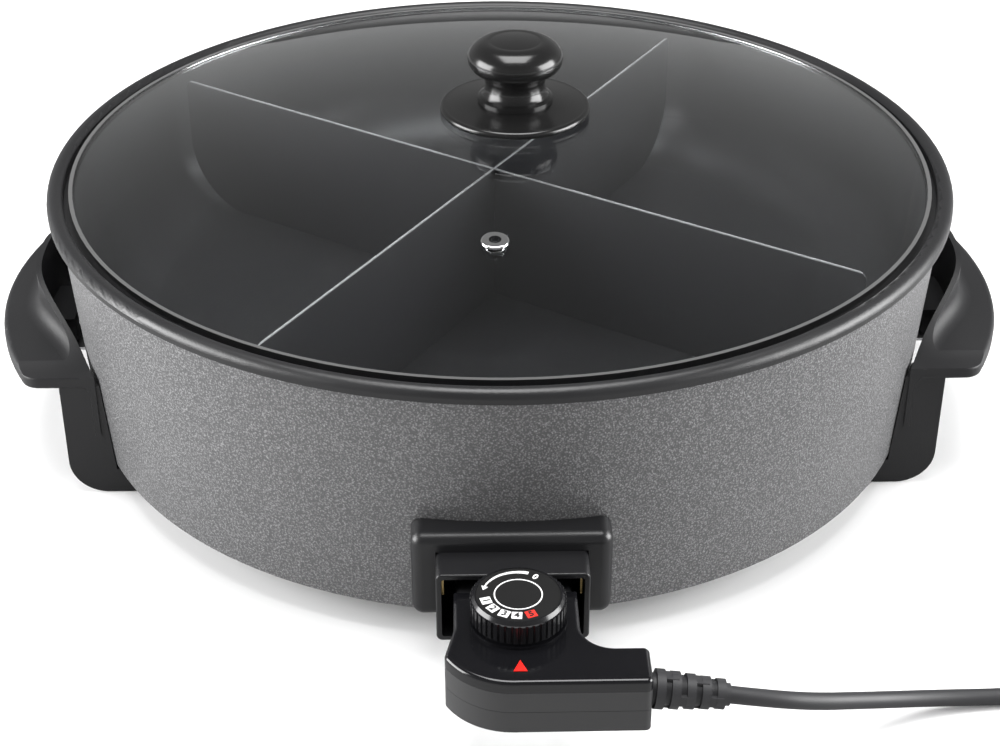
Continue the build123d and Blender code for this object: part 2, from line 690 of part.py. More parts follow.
def sleeve_opening():
    """Round opening in the arm's end for the cord's sleeve."""
    with BuildSketch(Plane.YZ.offset(ARM_RIGHT - BODY_WALL - 1)) as opening:
        with Locations((STRAIN_Y, STRAIN_Z)):
            Circle(STRAIN_PLUG_RADIUS + 0.1)
    return opening.sketch


def block_opening():
    """Rectangular opening in the neck's back wall for the rear of the contact block."""
    with BuildSketch(Plane.XZ.offset(-NECK_BACK - 2)) as opening:
        with Locations((BLOCK_X, BLOCK_Z)):
            Rectangle(BLOCK_STEM_WIDTH + 0.2, BLOCK_STEM_HEIGHT + 0.2)
    return opening.sketch


def make_upper_cover():
    """Upper half of the thermostat's case, with the collar that the dial turns on."""
    with BuildPart() as cover:
        extrude(body_outline(BODY_SEAM, 0), amount=BODY_TOP - BODY_SEAM)
        fillet(cover.faces().sort_by(Axis.Z)[-1].edges(), radius=1.8)
        for radius, rise in ((17.3, 2.2), (19.0, 1.1)):
            with BuildSketch(Plane.XY.offset(BODY_TOP - 1)):
                with Locations((DIAL_X, DIAL_Y)):
                    Circle(radius)
            extrude(amount=1 + rise)
        extrude(body_outline(BODY_SEAM, BODY_WALL), amount=BODY_TOP - BODY_SEAM - BODY_WALL,
                mode=Mode.SUBTRACT)
        with BuildSketch(Plane.XY.offset(BODY_SEAM)):
            with Locations(*COVER_SCREWS):
                Circle(3.2)
        extrude(amount=BODY_TOP - BODY_SEAM - BODY_WALL)
        with BuildSketch(Plane.XY.offset(BODY_SEAM)):
            with Locations(*COVER_SCREWS):
                Circle(1.45)
        extrude(amount=8, mode=Mode.SUBTRACT)
        with BuildSketch(Plane.XY.offset(BODY_TOP - 3)):
            with Locations((DIAL_X, DIAL_Y)):
                Circle(3.36)
        extrude(amount=8, mode=Mode.SUBTRACT)
        extrude(window_outline(BODY_TOP - 3, 0.08), amount=4, mode=Mode.SUBTRACT)
        extrude(sleeve_opening(), amount=4, mode=Mode.SUBTRACT)
        extrude(block_opening(), amount=6, mode=Mode.SUBTRACT)
    write(cover, "upper_cover")


def make_lower_cover():
    """Lower half of the thermostat's case, with a seat for each of its screws."""
    top = BODY_SEAM - 0.15
    with BuildPart() as cover:
        extrude(body_outline(BODY_BOTTOM, 0), amount=top - BODY_BOTTOM)
        extrude(body_outline(BODY_BOTTOM + BODY_WALL, BODY_WALL), amount=BODY_SEAM - BODY_BOTTOM,
                mode=Mode.SUBTRACT)
        with BuildSketch(Plane.XY.offset(BODY_BOTTOM + BODY_WALL)):
            with Locations(*COVER_SCREWS):
                Circle(3.2)
        extrude(amount=top - BODY_BOTTOM - BODY_WALL)
        with BuildSketch(Plane.XY.offset(BODY_BOTTOM)):
            with Locations(*COVER_SCREWS):
                Circle(1.55)
        extrude(amount=BODY_SEAM - BODY_BOTTOM, mode=Mode.SUBTRACT)
        with BuildSketch(Plane.XY.offset(BODY_BOTTOM)):
            with Locations(*COVER_SCREWS):
                Circle(2.6)
        extrude(amount=COVER_SCREW_SEAT - BODY_BOTTOM, mode=Mode.SUBTRACT)
        extrude(sleeve_opening(), amount=4, mode=Mode.SUBTRACT)
        extrude(block_opening(), amount=6, mode=Mode.SUBTRACT)
    write(cover, "lower_cover")


def make_cover_screws():
    """Three screws that close the case from below."""
    with BuildPart() as screws:
        for x, y in COVER_SCREWS:
            with BuildSketch(Plane.XY.offset(COVER_SCREW_SEAT - 1.8)):
                with Locations((x, y)):
                    Circle(2.5)
            extrude(amount=1.8)
            with BuildSketch(Plane.XY.offset(COVER_SCREW_SEAT)):
                with Locations((x, y)):
                    Circle(1.4)
            extrude(amount=14)
            with BuildSketch(Plane.XY.offset(COVER_SCREW_SEAT - 1.8)):
                with Locations((x, y)):
                    Rectangle(3.4, 0.7)
                    Rectangle(0.7, 3.4)
            extrude(amount=0.9, mode=Mode.SUBTRACT)
    write(screws, "cover_screws")


BLOCK_X = SOCKET_X + 0.35
BLOCK_Z = 38.0
BLOCK_FRONT = -231.3
BLOCK_BACK = -204.0
BLOCK_WIDTH = 46.0
BLOCK_HEIGHT = 21.0
BLOCK_STEM_WIDTH = 36.0
BLOCK_STEM_HEIGHT = 17.0


def make_terminal_block():
    """Phenolic block in the neck that slides into the socket and holds the contacts."""
    with BuildPart() as block:
        with BuildSketch(Plane.XZ.offset(-BLOCK_BACK)):
            with Locations((BLOCK_X, BLOCK_Z)):
                RectangleRounded(BLOCK_WIDTH, BLOCK_HEIGHT, 3)
        extrude(amount=BLOCK_BACK - NECK_BACK - 0.15)
        fillet(block.faces().sort_by(Axis.Y)[-1].edges(), radius=1)
        with BuildSketch(Plane.XZ.offset(-BLOCK_FRONT)):
            with Locations((BLOCK_X, BLOCK_Z)):
                Rectangle(BLOCK_STEM_WIDTH, BLOCK_STEM_HEIGHT)
        extrude(amount=BLOCK_FRONT - NECK_BACK - 3)
        with BuildSketch(Plane.XZ.offset(190)):
            with Locations((SOCKET_X - PIN_PITCH / 2, PIN_Z), (SOCKET_X, PIN_Z),
                           (SOCKET_X + PIN_PITCH / 2, PIN_Z)):
                Circle(3.3)
        extrude(amount=60, mode=Mode.SUBTRACT)
    write(block, "terminal_block")


def make_contact_tubes():
    """Two slit brass tubes that grip the pan's pins."""
    with BuildPart() as tubes:
        for side in (-1, 1):
            with BuildSketch(Plane.XZ.offset(-BLOCK_BACK + 1)):
                with Locations((SOCKET_X + side * PIN_PITCH / 2, PIN_Z)):
                    Circle(3.25)
                    Circle(2.35, mode=Mode.SUBTRACT)
                    Rectangle(0.8, 8, mode=Mode.SUBTRACT)
            extrude(amount=22)
            with BuildSketch(Plane.XZ.offset(-BLOCK_BACK + 23)):
                with Locations((SOCKET_X + side * PIN_PITCH / 2, PIN_Z)):
                    Circle(3.25)
            extrude(amount=BLOCK_BACK - 23 - BLOCK_FRONT)
    write(tubes, "contact_tubes")


PROBE_LENGTH = 107.0


def make_sensor_probe():
    """Closed steel tube that carries the temperature sensor under the pan's floor."""
    with BuildPart() as probe:
        with BuildSketch(Plane.XZ.offset(-BLOCK_FRONT - PROBE_LENGTH)):
            with Locations((SOCKET_X, PIN_Z)):
                Circle(3.2)
        extrude(amount=PROBE_LENGTH)
        fillet(probe.faces().sort_by(Axis.Y)[-1].edges(), radius=2.4)
    write(probe, "sensor_probe")


# ---- dial and its cam ----
DIAL_BASE = 52.6
DIAL_TOP = 62.0
CAM_RATE = 0.7
CAM_REST = 8.0
DIAL_OFF = 213
DIAL_FULL = -22
CAM_BOTTOM = 41.4
CAM_THICKNESS = 3.2


def make_dial_knob():
    """Knurled dial with a recess for its printed face."""
    with BuildPart() as dial:
        with BuildSketch(Plane.XY.offset(DIAL_BASE)):
            with Locations((DIAL_X, DIAL_Y)):
                Circle(18.7)
                with PolarLocations(18.9, 44):
                    Circle(0.75, mode=Mode.SUBTRACT)
        extrude(amount=DIAL_TOP - 1.6 - DIAL_BASE)
        with BuildSketch(Plane.XY.offset(DIAL_TOP - 1.6)):
            with Locations((DIAL_X, DIAL_Y)):
                Circle(17.9)
        extrude(amount=1.6, taper=30)
        with BuildSketch(Plane.XY.offset(DIAL_TOP - 0.7)):
            with Locations((DIAL_X, DIAL_Y)):
                Circle(16.4)
        extrude(amount=2, mode=Mode.SUBTRACT)
        with BuildSketch(Plane.XY.offset(DIAL_BASE - 1)):
            with Locations((DIAL_X, DIAL_Y)):
                Circle(3.1)
        extrude(amount=5, mode=Mode.SUBTRACT)
    write(dial, "dial_knob")


def make_dial_face():
    """Thin printed disc on the dial."""
    with BuildPart() as face:
        with BuildSketch(Plane.XY.offset(DIAL_TOP - 0.7)):
            with Locations((DIAL_X, DIAL_Y)):
                Circle(16.3)
        extrude(amount=0.5)
    write(face, "dial_face")


def make_dial_spindle():
    """Spindle under the dial with a spiral cam, higher by CAM_RATE for each radian."""
    start = 90 - DIAL_OFF
    end = 90 - DIAL_FULL
    steps = 12
    spiral = []
    for i in range(steps + 1):
        at = start + (end - start) * i / steps
        radius = CAM_REST + CAM_RATE * math.radians(90 - at)
        spiral.append((radius * math.cos(math.radians(at)), radius * math.sin(math.radians(at))))
    with BuildPart() as spindle:
        with BuildSketch(Plane.XY.offset(30)):
            with Locations((DIAL_X, DIAL_Y)):
                Circle(3.3)
        extrude(amount=DIAL_BASE - 30)
        with BuildSketch(Plane.XY.offset(DIAL_BASE)):
            with Locations((DIAL_X, DIAL_Y)):
                Circle(3.0)
        extrude(amount=3.8)
        with BuildSketch(Plane(origin=(DIAL_X, DIAL_Y, CAM_BOTTOM))):
            with BuildLine():
                rise = Spline(*spiral)
                ThreePointArc(rise @ 1, (CAM_REST * math.cos(math.radians(175)),
                                         CAM_REST * math.sin(math.radians(175))), rise @ 0)
            make_face()
        extrude(amount=CAM_THICKNESS)
    write(spindle, "dial_spindle")


def make_cam_follower():
    """Sliding rod that the cam pushes against the switch blade."""
    tip = DIAL_Y + CAM_REST + 0.3
    z = CAM_BOTTOM + CAM_THICKNESS / 2
    with BuildPart() as follower:
        with BuildSketch(Plane.XZ.offset(-tip)):
            with Locations((DIAL_X, z)):
                Circle(1.5)
        extrude(amount=-2.6)
    write(follower, "cam_follower")


def make_contact_blades():
    """Two switch blades, upright between the follower and the block."""
    thickness = 0.3
    with BuildPart() as blades:
        with Locations((DIAL_X, BLOCK_FRONT - 0.5, PIN_Z)):
            Box(13, thickness, 13)
        with Locations((DIAL_X, BLOCK_FRONT - 1.3, PIN_Z)):
            Box(9, thickness, 13)
    write(blades, "contact_blades")


# ---- pilot light ----
def make_pilot_lens():
    """Red triangular window over the pilot lamp, pointing at the dial."""
    with BuildPart() as lens:
        extrude(window_outline(BODY_TOP - 2.6, 0), amount=2.9)
    write(lens, "pilot_lens")


def make_pilot_lamp():
    """Small neon lamp lying under the window."""
    with BuildPart() as lamp:
        with BuildSketch(Plane.YZ.offset(DIAL_X - 6)):
            with Locations((-274, 43.6)):
                Circle(2.4)
        extrude(amount=12)
        fillet(lamp.edges(), radius=1.6)
    write(lamp, "pilot_lamp")


# ---- cord entry ----
STRAIN_Y = -275.0
STRAIN_Z = 38.6
STRAIN_DROOP = 7.0
STRAIN_START = ARM_RIGHT + 0.9
STRAIN_LENGTH = 29.1
STRAIN_PLUG_RADIUS = 6.0
SHEATH_END = 37.0


def make_strain_relief():
    """Tapered, ribbed rubber sleeve that the cord leaves through."""
    droop = math.radians(STRAIN_DROOP)
    along = Plane(origin=(STRAIN_START, STRAIN_Y, STRAIN_Z), x_dir=(0, 1, 0),
                  z_dir=(math.cos(droop), 0, -math.sin(droop)))
    ribs = 5
    pitch = STRAIN_LENGTH / ribs
    with BuildPart() as sleeve:
        with BuildSketch(Plane.YZ.offset(ARM_RIGHT - 3.4)):
            with Locations((STRAIN_Y, STRAIN_Z)):
                Circle(STRAIN_PLUG_RADIUS)
        extrude(amount=5.0)
        with BuildSketch(Plane.YZ.offset(SHEATH_END)):
            with Locations((STRAIN_Y, STRAIN_Z)):
                Circle(CORD_DIAMETER / 2)
        extrude(amount=ARM_RIGHT - 3.4 - SHEATH_END)
        with BuildSketch(along):
            Circle(6.2)
        with BuildSketch(along.offset(STRAIN_LENGTH)):
            Circle(4.3)
        loft()
        for i in range(ribs):
            outer = 7.9 - 2.3 * (i + 0.5) / ribs
            with BuildSketch(along.offset(pitch * i + 0.4)):
                Circle(outer)
            extrude(amount=pitch * 0.58)
        for i in range(ribs - 1):
            span = 2 * (7.9 - 2.3 * (i + 1) / ribs) - 0.8
            with BuildSketch(along.offset(pitch * (i + 0.5))):
                Rectangle(4.6, span, rotation=90 * (i % 2))
            extrude(amount=pitch)
    write(sleeve, "strain_relief")


def cord_end():
    """Where the cord leaves the strain relief."""
    droop = math.radians(STRAIN_DROOP)
    return (STRAIN_START + STRAIN_LENGTH * math.cos(droop), STRAIN_Y,
            STRAIN_Z - STRAIN_LENGTH * math.sin(droop))


def make_cord_clamp():
    """Saddle under the cord's sheath inside the case."""
    with BuildPart() as clamp:
        with BuildSketch(Plane.YZ.offset(SHEATH_END + 1.5)):
            with Locations((STRAIN_Y, 32.5)):
                Rectangle(11, 8.9)
            with Locations((STRAIN_Y, STRAIN_Z)):
                Circle(CORD_DIAMETER / 2 + 0.05, mode=Mode.SUBTRACT)
        extrude(amount=6)
    write(clamp, "cord_clamp")


def make_internal_wires():
    """Live, neutral and earth wires from the cord to the contacts."""
    left = SOCKET_X - PIN_PITCH / 2
    right = SOCKET_X + PIN_PITCH / 2
    start = SHEATH_END - 0.3
    end = BLOCK_FRONT - 0.3
    routes = [((start, -275.6, 37.4), (22, -272, 34), (-9, -261, 33), (left, -246, 34), (left, end, 38)),
              ((start, -274.4, 39.8), (24, -267, 38), (15.6, -254, 37), (right, -242, 37.5),
               (right, end, 39)),
              ((start, -273.2, 37.4), (27, -266, 32), (14, -255, 31.4), (10, -243, 31.4), (10, end, 31.4))]
    with BuildPart() as wires:
        for points in routes:
            with BuildLine() as route:
                FilletPolyline(*points, radius=4)
            with BuildSketch(Plane(origin=route.wires()[0] @ 0, z_dir=route.wires()[0] % 0)):
                Circle(0.9)
            sweep(path=route.wires()[0])
    write(wires, "internal_wires")


# ---- mains cord ----
FLOOR_CORD = CORD_DIAMETER / 2 + 0.1
COIL_CENTRE = (264.0, -201.5)
COIL_TURN = 41.0
CORD_ROUTE = [(97, -275.2, 32.6), (115, -269.6, 26.2), (133, -260.2, 18.2), (151, -251.6, 11.0),
              (170, -245.4, 6.0), (190, -242.6, FLOOR_CORD + 0.2), (214, -241.6, FLOOR_CORD),
              (238, -242.5, FLOOR_CORD)]
TAIL_ROUTE = [(305.0, -190.0, 10.4), (305.6, -176.0, 12.5), (306.0, -163.0, 16.0), (306.0, -152.0, 18.6)]
PLUG_REAR = (306.0, -152.0, 18.6)


def cord_path(points):
    """Straight runs joined by tangent arcs as large as the runs allow; prints its bends and volume."""
    points = [Vector(*p) for p in points]
    radii = []
    for before, at, after in zip(points, points[1:], points[2:]):
        runs = ((at - before).length, (after - at).length)
        turn = math.radians((at - before).get_angle(after - at))
        radii.append(0.45 * min(runs) / math.tan(turn / 2))
    with BuildLine() as route:
        FilletPolyline(*points, radius=radii)
    path = route.wires()[0]
    volume = math.pi * (CORD_DIAMETER / 2) ** 2 * path.length
    print("cord bends", [round(r) for r in radii], "length", round(path.length, 1))
    print("section x length", round(volume))
    return path


def make_cord(points, name):
    """One stretch of the cord that isn't coiled."""
    path = cord_path(points)
    with BuildPart() as cord:
        with BuildSketch(Plane(origin=path @ 0, z_dir=path % 0)):
            Circle(CORD_DIAMETER / 2)
        sweep(path=path)
    print(name, "volume", round(cord.part.volume))
    write(cord, name)


def make_cord_coil():
    """Outer shape of the wound cord: two layers of two turns."""
    outer = COIL_TURN + CORD_DIAMETER / 2 + 0.2
    inner = COIL_TURN - 7.2 - CORD_DIAMETER / 2 - 0.2
    with BuildPart() as coil:
        with BuildSketch(Plane.XY):
            with Locations(COIL_CENTRE):
                Circle(outer)
                Circle(inner, mode=Mode.SUBTRACT)
        extrude(amount=2 * CORD_DIAMETER + 0.4)
        fillet(coil.edges().group_by(Axis.Z)[-1], radius=2.5)
    write(coil, "cord_coil")


def make_cord_tie():
    """Loop that holds the coil together."""
    height = 2 * CORD_DIAMETER + 0.4
    centre_x = COIL_CENTRE[0] + COIL_TURN - 3.6
    with BuildPart() as tie:
        with BuildSketch(Plane.XZ.offset(-COIL_CENTRE[1] - 3)):
            with Locations((centre_x, height / 2 + 0.55)):
                RectangleRounded(16.6, height + 1.1, 2.4)
                RectangleRounded(15.0, height - 0.5, 1.8, mode=Mode.SUBTRACT)
        extrude(amount=6)
    write(tie, "cord_tie")


# ---- mains plug ----
def plug_plane(distance):
    """Plane across the plug, measured along it from where the cord enters."""
    return Plane(origin=(PLUG_REAR[0], PLUG_REAR[1] + distance, PLUG_REAR[2]),
                 x_dir=(1, 0, 0), z_dir=(0, 1, 0))


def make_plug_body():
    """Moulded round plug with a tapered grip and a flat front."""
    radius = 18.4
    with BuildPart() as plug:
        with BuildSketch(Plane(origin=PLUG_REAR, x_dir=(1, 0, 0), z_dir=(0, 0, 1))):
            with BuildLine():
                Polyline((0, 0), (5.2, 0), (6.4, 16), (8.5, 18))
                ThreePointArc((8.5, 18), (12.5, 24), (14.0, 33))
                Polyline((14.0, 33), (radius, 36), (radius, 52), (radius - 1.5, 53.5), (0, 53.5), (0, 0))
            make_face()
        revolve(axis=Axis(PLUG_REAR, (0, 1, 0)))
        with BuildSketch(plug_plane(35)):
            with Locations((0, 17.6), (0, -17.6)):
                Rectangle(5.2, 3.2)
        extrude(amount=20, mode=Mode.SUBTRACT)
    write(plug, "plug_body")


def make_plug_contacts():
    """Two round pins and the two side strips of the earth contact."""
    with BuildPart() as contacts:
        with BuildSketch(plug_plane(53.5)):
            with Locations((-9.5, 0), (9.5, 0)):
                Circle(2.4)
        extrude(amount=19)
        tips = contacts.faces().sort_by(Axis.Y)[-2:]
        fillet(tips.edges(), radius=1.2)
        with BuildSketch(plug_plane(38)):
            with Locations((0, 16.9), (0, -16.9)):
                Rectangle(4.4, 1.0)
        extrude(amount=14)
    write(contacts, "plug_contacts")


def main():
    make_inner_pan()
    make_outer_shell()
    make_heating_element()
    make_terminal_pins()
    make_terminal_bushes()
    make_probe_well()
    make_socket_bezel()
    make_socket_housing()
    make_socket_screws()
    make_earth_contacts()
    for side, word in ((-1, "left"), (1, "right")):
        make_handle(side, f"handle_{word}")
        make_handle_bracket(side, f"handle_bracket_{word}")
    make_bracket_rivets()
    make_handle_screws()
    make_glass_lid()
    make_lid_band()
    make_steam_vent()
    make_knob_shield()
    make_lid_knob()
    make_knob_gasket()
    make_knob_washer()
    make_knob_screw()
    make_divider_plate(DIVIDER_LONG_TURN, True, "divider_long")
    make_divider_plate(DIVIDER_CROSS_TURN, False, "divider_cross")
    make_upper_cover()
    make_lower_cover()
    make_cover_screws()
    make_terminal_block()
    make_contact_tubes()
    make_sensor_probe()
    make_dial_knob()
    make_dial_face()
    make_dial_spindle()
    make_cam_follower()
    make_contact_blades()
    make_pilot_lens()
    make_pilot_lamp()
    make_strain_relief()
    make_cord_clamp()
    make_internal_wires()
    coil_entry = (COIL_CENTRE[0], COIL_CENTRE[1] - COIL_TURN, FLOOR_CORD)
    make_cord([cord_end(), *CORD_ROUTE, coil_entry], "mains_cord")
    make_cord(TAIL_ROUTE, "cord_tail")
    make_cord_coil()
    make_cord_tie()
    make_plug_body()
    make_plug_contacts()


main()
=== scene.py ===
import json
import math

import bmesh
import bpy
from mathutils import Matrix, Vector


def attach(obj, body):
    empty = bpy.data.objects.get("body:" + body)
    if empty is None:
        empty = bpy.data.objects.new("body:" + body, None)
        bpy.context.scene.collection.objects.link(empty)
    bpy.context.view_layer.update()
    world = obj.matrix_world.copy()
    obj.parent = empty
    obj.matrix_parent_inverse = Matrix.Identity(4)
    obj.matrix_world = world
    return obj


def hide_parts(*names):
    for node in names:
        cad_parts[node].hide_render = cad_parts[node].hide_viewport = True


# Electric griddle. Metres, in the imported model's own frame: +Z up, origin on the
# pan's axis where the feet stand, -Y the side that the thermostat plugs into.
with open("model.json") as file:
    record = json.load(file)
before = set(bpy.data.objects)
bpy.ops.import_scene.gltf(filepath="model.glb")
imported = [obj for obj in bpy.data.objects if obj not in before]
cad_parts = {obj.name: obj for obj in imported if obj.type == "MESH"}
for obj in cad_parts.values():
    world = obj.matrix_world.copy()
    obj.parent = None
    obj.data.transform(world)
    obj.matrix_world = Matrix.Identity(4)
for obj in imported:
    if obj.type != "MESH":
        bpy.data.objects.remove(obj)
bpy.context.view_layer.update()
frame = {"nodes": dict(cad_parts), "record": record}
nodes = frame["nodes"]
scene = bpy.context.scene
MM = 0.001

DIAL_CENTRE = Vector((1.6, -246.6, 0)) * MM
CORD_DIAMETER = 6.8 * MM


# ---- camera ----
def make_camera():
    """Looks down at the pan's front, a little from the left."""
    data = bpy.data.cameras.new("camera")
    data.lens = 69.32
    data.sensor_width = 36.0
    camera = bpy.data.objects.new("camera", data)
    scene.collection.objects.link(camera)
    camera.location = (-0.0181, -0.8294, 0.5160)
    aim = Vector((0, 0, 0.0104)) - camera.location
    camera.rotation_euler = aim.to_track_quat("-Z", "Y").to_euler()
    scene.camera = camera


# ---- mesh helpers ----
def finish_mesh(name, bm, body, sharp=35):
    """Makes a piece from a bmesh, smooth except over sharp edges, and lets it ride on a body."""
    mesh = bpy.data.meshes.new(name)
    bmesh.ops.recalc_face_normals(bm, faces=bm.faces)
    bm.to_mesh(mesh)
    bm.free()
    mesh.shade_smooth()
    mesh.set_sharp_from_angle(angle=math.radians(sharp))
    piece = bpy.data.objects.new(name, mesh)
    scene.collection.objects.link(piece)
    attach(piece, body)
    return piece


def arc(centre, radius, start, end, count):
    """Points along an arc in the (r, z) plane, from start to end in degrees."""
    points = []
    for i in range(count + 1):
        angle = math.radians(start + (end - start) * i / count)
        points.append((centre[0] + radius * math.cos(angle), centre[1] + radius * math.sin(angle)))
    return points


# ---- cord ----
CORD_START = (80.383, -275, 35.054)
CORD_RUN = [(97, -275.2, 32.6), (115, -269.6, 26.2), (133, -260.2, 18.2), (151, -251.6, 11.0),
            (170, -245.4, 6.0), (190, -242.6, 3.7), (214, -241.6, 3.5), (238, -242.5, 3.5)]
CORD_TAIL = [(305.0, -190.0, 10.4), (305.6, -176.0, 12.5), (306.0, -163.0, 16.0), (306.0, -152.0, 18.6)]
COIL_CENTRE = (264.0, -201.5)
COIL_RADII = (41.0, 33.8)
COIL_HEIGHTS = (3.5, 10.5)


def ramp(turn, start):
    """Goes from 0 to 1 over four tenths of a turn."""
    return min(max((turn - start) / 0.4, 0), 1)


def coil_points():
    """Four turns in two layers: out to in on the floor, up, then in to out on top."""
    steps = 16
    turns = 4.25
    spread = 1 / math.cos(math.pi / steps) ** 0.5
    points = []
    for i in range(int(steps * turns) + 1):
        turned_so_far = i / steps
        angle = -math.pi / 2 + turned_so_far * math.tau
        inward = ramp(turned_so_far, 0.8)
        outward = ramp(turned_so_far, 2.9)
        climb = ramp(turned_so_far, 1.9)
        radius = COIL_RADII[0] + (COIL_RADII[1] - COIL_RADII[0]) * (inward - outward)
        height = COIL_HEIGHTS[0] + (COIL_HEIGHTS[1] - COIL_HEIGHTS[0]) * climb
        points.append((COIL_CENTRE[0] + radius * spread * math.cos(angle),
                       COIL_CENTRE[1] + radius * spread * math.sin(angle), height))
    return points


def make_cord():
    """The mains cord from its sleeve to the plug, as one smooth curve."""
    points = [CORD_START] + CORD_RUN + coil_points() + CORD_TAIL
    curve = bpy.data.curves.new("mains_cord_flex", "CURVE")
    curve.dimensions = "3D"
    spline = curve.splines.new("NURBS")
    spline.points.add(len(points) - 1)
    for point, place in zip(spline.points, points):
        point.co = (*(Vector(place) * MM), 1)
        point.radius = CORD_DIAMETER / 2
    spline.order_u = 3
    spline.use_endpoint_u = True
    spline.resolution_u = 8
    curve.bevel_depth = 1.0
    curve.bevel_resolution = 5
    curve.use_fill_caps = True
    cord = bpy.data.objects.new("mains_cord_flex", curve)
    scene.collection.objects.link(cord)
    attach(cord, "thermostat")
    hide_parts("mains_cord", "cord_coil", "cord_tail")
    return cord


# ---- shared shader effects ----
def new_group(name, inputs, outputs):
    """An empty shader node group with its named sockets."""
    group = bpy.data.node_groups.new(name, "ShaderNodeTree")
    for socket, kind, value in inputs:
        made = group.interface.new_socket(name=socket, in_out="INPUT", socket_type=kind)
        if value is not None:
            made.default_value = value
    for socket, kind in outputs:
        group.interface.new_socket(name=socket, in_out="OUTPUT", socket_type=kind)
    return group, group.nodes.new("NodeGroupInput"), group.nodes.new("NodeGroupOutput")


def math_node(tree, operation, a, b=None):
    """A Math node on two sockets or numbers; gives its output."""
    node = tree.nodes.new("ShaderNodeMath")
    node.operation = operation
    for socket, value in zip(node.inputs, (a, b)):
        if value is None:
            continue
        if isinstance(value, (int, float)):
            socket.default_value = value
        else:
            tree.links.new(value, socket)
    return node.outputs[0]


def build_grain():
    """Fine moulded or sprayed texture: two sizes of soft bumps."""
    group, start, end = new_group("fine_grain",
                                  [("Vector", "NodeSocketVector", None), ("Size", "NodeSocketFloat", 900.0)],
                                  [("Height", "NodeSocketFloat"), ("Patches", "NodeSocketFloat")])
    fine = group.nodes.new("ShaderNodeTexNoise")
    fine.inputs["Detail"].default_value = 3
    fine.inputs["Roughness"].default_value = 0.6
    group.links.new(start.outputs["Vector"], fine.inputs["Vector"])
    group.links.new(start.outputs["Size"], fine.inputs["Scale"])
    patches = group.nodes.new("ShaderNodeTexNoise")
    patches.inputs["Scale"].default_value = 22
    patches.inputs["Detail"].default_value = 4
    group.links.new(start.outputs["Vector"], patches.inputs["Vector"])
    group.links.new(fine.outputs["Fac"], end.inputs["Height"])
    group.links.new(patches.outputs["Fac"], end.inputs["Patches"])
    return group


def build_hammered():
    """Hammered paint: rounded cells with thin dark valleys, and pale flecks."""
    group, start, end = new_group("hammered_paint",
                                  [("Vector", "NodeSocketVector", None), ("Size", "NodeSocketFloat", 1150.0)],
                                  [("Height", "NodeSocketFloat"), ("Fleck", "NodeSocketFloat")])
    bend = group.nodes.new("ShaderNodeTexNoise")
    bend.inputs["Scale"].default_value = 800
    group.links.new(start.outputs["Vector"], bend.inputs["Vector"])
    shift = group.nodes.new("ShaderNodeVectorMath")
    shift.operation = "MULTIPLY_ADD"
    shift.inputs[1].default_value = (0.0008, 0.0008, 0.0008)
    group.links.new(bend.outputs["Color"], shift.inputs[0])
    group.links.new(start.outputs["Vector"], shift.inputs[2])
    cells = group.nodes.new("ShaderNodeTexVoronoi")
    cells.feature = "SMOOTH_F1"
    cells.inputs["Smoothness"].default_value = 0.35
    group.links.new(shift.outputs[0], cells.inputs["Vector"])
    group.links.new(start.outputs["Size"], cells.inputs["Scale"])
    height = math_node(group, "SUBTRACT", 1.0, cells.outputs["Distance"])
    fleck = group.nodes.new("ShaderNodeTexNoise")
    fleck.inputs["Detail"].default_value = 2
    group.links.new(shift.outputs[0], fleck.inputs["Vector"])
    group.links.new(start.outputs["Size"], fleck.inputs["Scale"])
    mixed = math_node(group, "MULTIPLY", height, fleck.outputs["Fac"])
    group.links.new(height, end.inputs["Height"])
    group.links.new(mixed, end.inputs["Fleck"])
    return group


def build_level_band():
    """Mask that is 1 between two heights of the piece and 0 elsewhere."""
    group, start, end = new_group("level_band",
                                  [("Vector", "NodeSocketVector", None), ("Low", "NodeSocketFloat", 0.0),
                                   ("High", "NodeSocketFloat", 1.0)],
                                  [("Mask", "NodeSocketFloat")])
    split = group.nodes.new("ShaderNodeSeparateXYZ")
    group.links.new(start.outputs["Vector"], split.inputs[0])
    above = math_node(group, "GREATER_THAN", split.outputs["Z"], start.outputs["Low"])
    below = math_node(group, "LESS_THAN", split.outputs["Z"], start.outputs["High"])
    group.links.new(math_node(group, "MULTIPLY", above, below), end.inputs["Mask"])
    return group


GRAIN = build_grain()
HAMMERED = build_hammered()
LEVEL_BAND = build_level_band()


# ---- materials ----
# Heights in metres at which the case's finish changes, and at which painted highlight bands start and end.
# Painted highlight on the outer shell just under the rim: a near-white band in the colour that stands in for
# light caught by the shell's top edge.
PAINTED_HIGHLIGHT_BAND = (0.1232, 0.1243)
# Height above which the divider's top edge is painted pale grey: a painted highlight.
DIVIDER_PAINTED_HIGHLIGHT = 0.1231
GLOSS_START = 0.0447
ABOVE_ALL = 0.2


def new_material(name, base, roughness, metallic=0.0, coat=0.0, coat_roughness=0.1, specular=0.5):
    """A material with its Principled shader set; gives the material, its tree and the shader."""
    material = bpy.data.materials.new(name)
    material.use_nodes = True
    shader = material.node_tree.nodes["Principled BSDF"]
    shader.inputs["Base Color"].default_value = (*base, 1)
    shader.inputs["Roughness"].default_value = roughness
    shader.inputs["Metallic"].default_value = metallic
    shader.inputs["Coat Weight"].default_value = coat
    shader.inputs["Coat Roughness"].default_value = coat_roughness
    shader.inputs["Specular IOR Level"].default_value = specular
    return material, material.node_tree, shader


def place_group(tree, group, **values):
    """Puts an effect in a material, on Object coordinates."""
    node = tree.nodes.new("ShaderNodeGroup")
    node.node_tree = group
    where = tree.nodes.new("ShaderNodeTexCoord")
    tree.links.new(where.outputs["Object"], node.inputs["Vector"])
    for socket, value in values.items():
        node.inputs[socket].default_value = value
    return node


